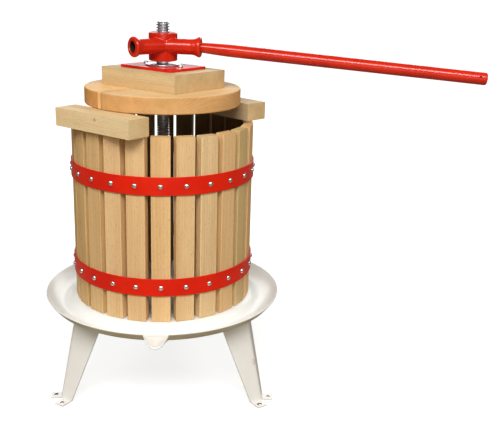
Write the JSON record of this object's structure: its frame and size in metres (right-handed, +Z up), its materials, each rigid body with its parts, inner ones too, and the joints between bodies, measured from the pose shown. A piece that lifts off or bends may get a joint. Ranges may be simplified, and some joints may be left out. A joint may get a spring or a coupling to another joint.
{
  "type": "basket wine press",
  "caption": "Slatted wooden press basket with red steel bands on a white spouted tray with legs, central screw, red nut with lever sockets, lever bar and wooden pressing boards",
  "frame": {"origin": "middle of the bottom of the press's box, on the floor under the feet", "axes": "+X along the lever side, the press's longest extent, +Y away from the spout, +Z up"},
  "size_m": [0.6674, 0.4058, 0.5874],
  "materials": {
    "slat_wood": "planed beech, bare",
    "board_wood": "planed beech, bare",
    "red_paint": "gloss red paint",
    "white_enamel": "gloss white paint",
    "zinc_steel": "bright zinc-plated steel"
  },
  "bodies": {
    "press": {"juice_tray": "white_enamel", "leg_front_left": "white_enamel", "leg_front_right": "white_enamel", "leg_back": "white_enamel", "slat_01": "slat_wood", "slat_02": "slat_wood", "slat_03": "slat_wood", "slat_04": "slat_wood", "slat_05": "slat_wood", "slat_06": "slat_wood", "slat_07": "slat_wood", "slat_08": "slat_wood", "slat_09": "slat_wood", "slat_10": "slat_wood", "slat_11": "slat_wood", "slat_12": "slat_wood", "slat_13": "slat_wood", "slat_14": "slat_wood", "slat_15": "slat_wood", "slat_16": "slat_wood", "slat_17": "slat_wood", "slat_18": "slat_wood", "slat_19": "slat_wood", "slat_20": "slat_wood", "slat_21": "slat_wood", "slat_22": "slat_wood", "slat_23": "slat_wood", "slat_24": "slat_wood", "upper_band": "red_paint", "lower_band": "red_paint", "press_screw": "zinc_steel", "screw_upper_nut": "zinc_steel", "screw_base_washer": "zinc_steel", "screw_lower_nut": "zinc_steel", "beam_left": "board_wood", "beam_right": "board_wood", "pressing_disc_back": "board_wood", "pressing_disc_front": "board_wood", "pressing_block": "board_wood", "pressure_plate": "red_paint", "plate_bolt_left": "zinc_steel", "plate_bolt_right": "zinc_steel", "plate_washer": "zinc_steel"},
    "thrust": {"thrust_ring": "zinc_steel"},
    "hub": {"nut_hub": "red_paint"},
    "lever": {"lever_bar": "red_paint"}
  },
  "joints": [
    {"name": "hub_travel", "type": "slide", "parent": "press", "child": "thrust", "axis": [0, 0, 1], "range_m": [-0.0028, 0.0401]},
    {"name": "hub_turn", "type": "hinge", "parent": "thrust", "child": "hub", "pos_m": [-0.14466, 0.00307, 0.5507], "axis": [0, 0, 1], "range_deg": [-250, 3600]},
    {"name": "lever_pull", "type": "slide", "parent": "hub", "child": "lever", "axis": [0.9879, -0.1388, -0.0698], "range_m": [0, 0.032]}
  ],
  "couplings": [
    {"joint": "hub_travel", "follows": "hub_turn", "m_per_rad": 0.00063662}
  ]
}
